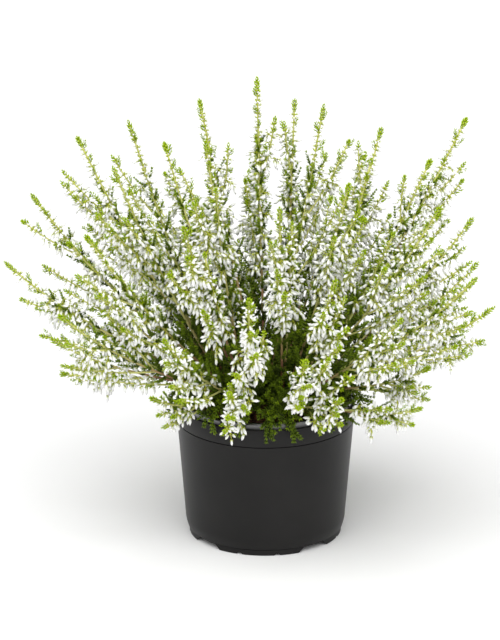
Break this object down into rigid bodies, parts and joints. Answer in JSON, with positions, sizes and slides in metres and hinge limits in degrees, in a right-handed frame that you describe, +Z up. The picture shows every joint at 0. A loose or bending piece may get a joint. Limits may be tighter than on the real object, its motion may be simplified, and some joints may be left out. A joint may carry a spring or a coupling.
{
  "type": "potted heather",
  "caption": "Flowering heather in a round black nursery pot: a fan-shaped dome of upright sprays crowded with white buds, tipped with fresh green, over leafy woody stems.",
  "frame": {"origin": "middle of the pot's underside, on the surface that the pot stands on", "axes": "+Z up through the pot's axis, -Y towards the front of the picture"},
  "size_m": [0.2994, 0.2467, 0.2892],
  "materials": {
    "pot": "fine satin moulded black polypropylene",
    "soil": "loose damp peat, rough",
    "leafy_stems": "pinkish brown bark on old stems, yellow-green young stems, waxy green scale leaves",
    "buds": "closed white buds with a soft matt sheen and green bracts"
  },
  "bodies": {
    "root": {"pot": "pot", "soil": "soil", "leafy_stems_1": "leafy_stems", "leafy_stems_2": "leafy_stems", "leafy_stems_3": "leafy_stems", "leafy_stems_4": "leafy_stems", "leafy_stems_5": "leafy_stems", "leafy_stems_6": "leafy_stems", "leafy_stems_7": "leafy_stems", "spray_01": "buds", "spray_02": "buds", "spray_03": "buds", "spray_04": "buds", "spray_05": "buds", "spray_06": "buds", "spray_07": "buds", "spray_08": "buds", "spray_09": "buds", "spray_10": "buds", "spray_11": "buds", "spray_12": "buds", "spray_13": "buds", "spray_14": "buds", "spray_15": "buds", "spray_16": "buds", "spray_17": "buds", "spray_18": "buds", "spray_19": "buds", "spray_20": "buds", "spray_21": "buds", "spray_22": "buds", "spray_23": "buds", "spray_24": "buds", "spray_25": "buds", "spray_26": "buds", "spray_27": "buds", "spray_28": "buds", "spray_29": "buds", "spray_30": "buds", "spray_31": "buds", "spray_32": "buds", "spray_33": "buds", "spray_34": "buds", "spray_35": "buds", "spray_36": "buds", "spray_37": "buds", "spray_38": "buds", "spray_39": "buds", "spray_40": "buds", "spray_41": "buds", "spray_42": "buds", "spray_43": "buds", "spray_44": "buds", "spray_45": "buds", "spray_46": "buds", "spray_47": "buds", "spray_48": "buds"}
  },
  "joints": []
}
